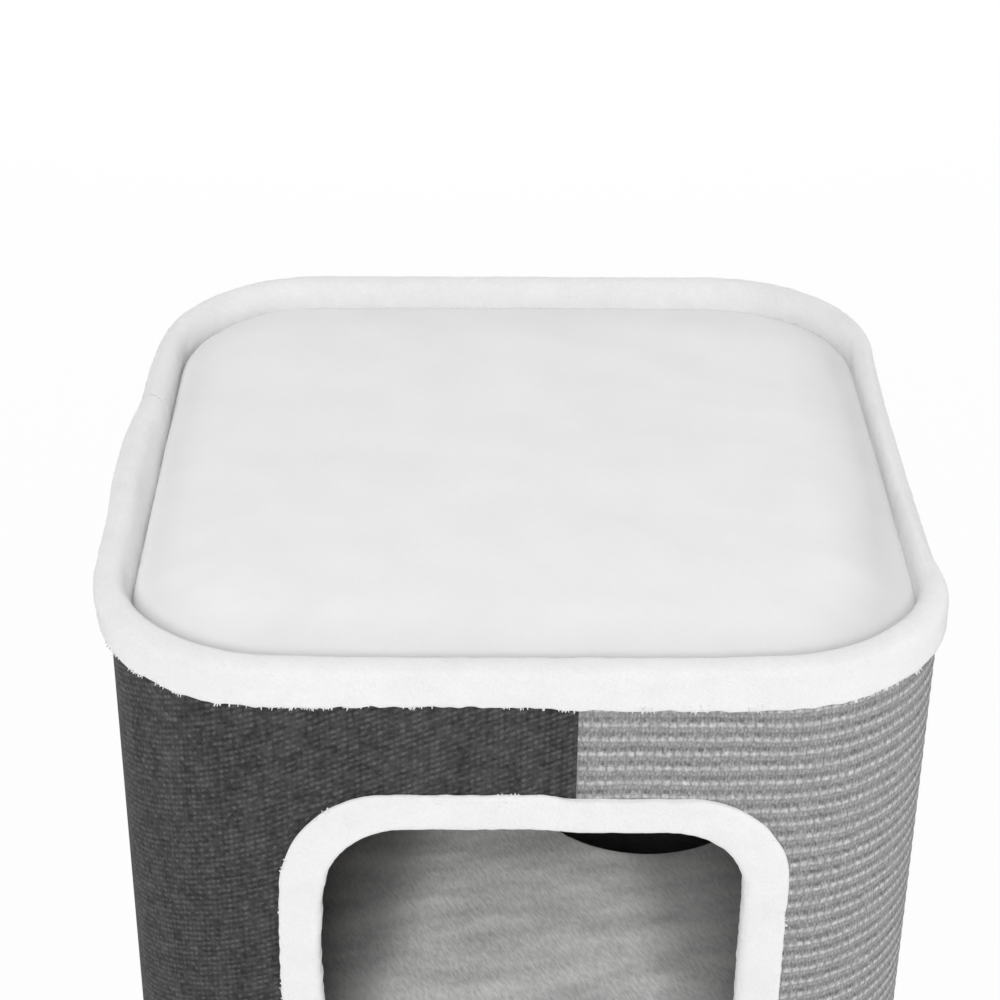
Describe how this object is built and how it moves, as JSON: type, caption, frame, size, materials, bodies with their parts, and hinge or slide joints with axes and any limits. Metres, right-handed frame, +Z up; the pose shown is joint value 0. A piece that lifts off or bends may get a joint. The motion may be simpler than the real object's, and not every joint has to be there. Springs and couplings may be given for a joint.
{
  "type": "cat condo",
  "caption": "Two-storey soft-sided cat condo with plush-bound entries, a passage in the upper floor and a cushioned deck on top.",
  "frame": {"origin": "centre of the foot, on the floor", "axes": "+Z up, -Y towards the entries, +X to the right seen from the entries"},
  "size_m": [0.4072, 0.4072, 0.57],
  "materials": {
    "black_tape": "matte woven tape and bottom cloth",
    "wall_panel": "bare bendable fibreboard",
    "dark_twill": "matte charcoal twill",
    "woven_fabric": "coarse ribbed grey weave",
    "grey_lining": "short dark grey plush",
    "white_plush": "long white plush",
    "fibreboard": "bare fibreboard",
    "grey_pile": "pale grey pile",
    "cushion_velvet": "smooth pale grey velvet",
    "foam": "open-cell foam",
    "batten": "planed softwood",
    "screw_steel": "zinc plated"
  },
  "bodies": {
    "shell": {"bottom_panel": "black_tape", "hem_tape": "black_tape", "front_core": "wall_panel", "back_core": "wall_panel", "dark_cover": "dark_twill", "woven_cover": "woven_fabric", "front_lining": "grey_lining", "back_lining": "grey_lining", "front_rim_binding": "white_plush", "back_rim_binding": "white_plush", "front_rim_foam": "foam", "back_rim_foam": "foam", "upper_entry_binding": "white_plush", "lower_entry_binding": "white_plush", "floor_ledge_front": "batten", "floor_ledge_back": "batten", "floor_ledge_left_front": "batten", "floor_ledge_left_back": "batten", "floor_ledge_right_front": "batten", "floor_ledge_right_back": "batten", "deck_ledge_front": "batten", "deck_ledge_back": "batten", "deck_ledge_left_front": "batten", "deck_ledge_left_back": "batten", "deck_ledge_right_front": "batten", "deck_ledge_right_back": "batten", "floor_ledge_screws": "screw_steel", "deck_ledge_screws": "screw_steel"},
    "base": {"base_board": "fibreboard", "base_cover": "grey_pile"},
    "upper_floor": {"floor_board": "fibreboard", "floor_cover": "grey_pile"},
    "deck": {"deck_board": "fibreboard", "deck_cover": "grey_lining"},
    "cushion": {"cushion_foam": "foam", "cushion_cover": "cushion_velvet"}
  },
  "joints": [
    {"name": "base_lift", "type": "slide", "parent": "shell", "child": "base", "axis": [0, 0, 1], "range_m": [0, 0.2]},
    {"name": "floor_lift", "type": "slide", "parent": "shell", "child": "upper_floor", "axis": [0, 0, 1], "range_m": [0, 0.2]},
    {"name": "deck_lift", "type": "slide", "parent": "shell", "child": "deck", "axis": [0, 0, 1], "range_m": [0, 0.07]},
    {"name": "cushion_lift", "type": "slide", "parent": "deck", "child": "cushion", "axis": [0, 0, 1], "range_m": [0, 0.06]}
  ]
}
